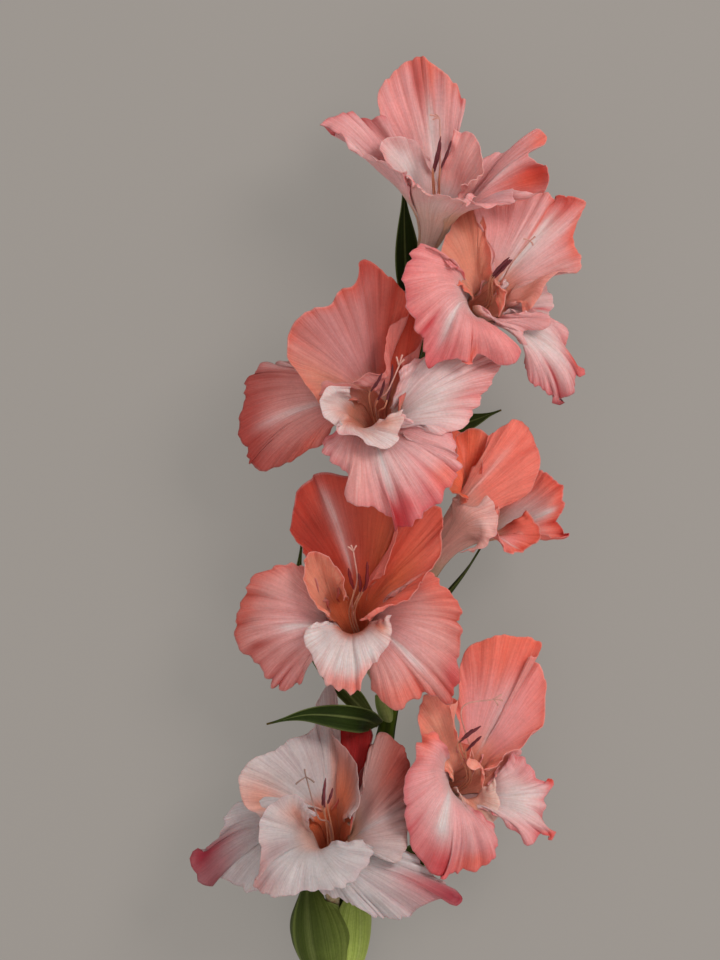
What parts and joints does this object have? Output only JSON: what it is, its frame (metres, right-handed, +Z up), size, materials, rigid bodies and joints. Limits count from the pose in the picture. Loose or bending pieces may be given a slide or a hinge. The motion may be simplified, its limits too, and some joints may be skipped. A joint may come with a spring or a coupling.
{
  "type": "cut gladiolus spike",
  "caption": "Cut gladiolus spike laid on its back, with coral-pink funnel florets, green bracts and a plain cut stem.",
  "frame": {"origin": "middle of the bounding box's base, on the surface that the spike lies on", "axes": "+Y from the stem's cut end to the tip of the spike, +X to the right as seen from above, +Z up, the way the florets face"},
  "size_m": [0.1628, 0.5092, 0.0766],
  "materials": {
    "coral_tepal": "soft satin coral-pink petal flesh with paler midribs and redder margins",
    "blush_tepal": "soft satin blush-white petal flesh with grey-pink veins and dark red tips",
    "stamen": "pale filaments and style with dark maroon anthers",
    "bract": "smooth waxy green leaf with fine lengthwise ribs",
    "stem": "smooth fresh green stem with a paler cut end"
  },
  "bodies": {
    "root": {"stem": "stem", "floret_1_perianth": "coral_tepal", "floret_1_stamens": "stamen", "floret_1_ovary": "stem", "floret_1_outer_bract": "bract", "floret_1_inner_bract": "bract", "floret_2_perianth": "coral_tepal", "floret_2_stamens": "stamen", "floret_2_ovary": "stem", "floret_2_outer_bract": "bract", "floret_2_inner_bract": "bract", "floret_3_perianth": "coral_tepal", "floret_3_stamens": "stamen", "floret_3_ovary": "stem", "floret_3_outer_bract": "bract", "floret_3_inner_bract": "bract", "floret_4_perianth": "coral_tepal", "floret_4_stamens": "stamen", "floret_4_ovary": "stem", "floret_4_outer_bract": "bract", "floret_4_inner_bract": "bract", "floret_5_perianth": "coral_tepal", "floret_5_stamens": "stamen", "floret_5_ovary": "stem", "floret_5_outer_bract": "bract", "floret_5_inner_bract": "bract", "floret_6_perianth": "coral_tepal", "floret_6_stamens": "stamen", "floret_6_ovary": "stem", "floret_6_outer_bract": "bract", "floret_6_inner_bract": "bract", "floret_7_perianth": "blush_tepal", "floret_7_stamens": "stamen", "floret_7_ovary": "stem", "floret_7_outer_bract": "bract", "floret_7_inner_bract": "bract"}
  },
  "joints": []
}
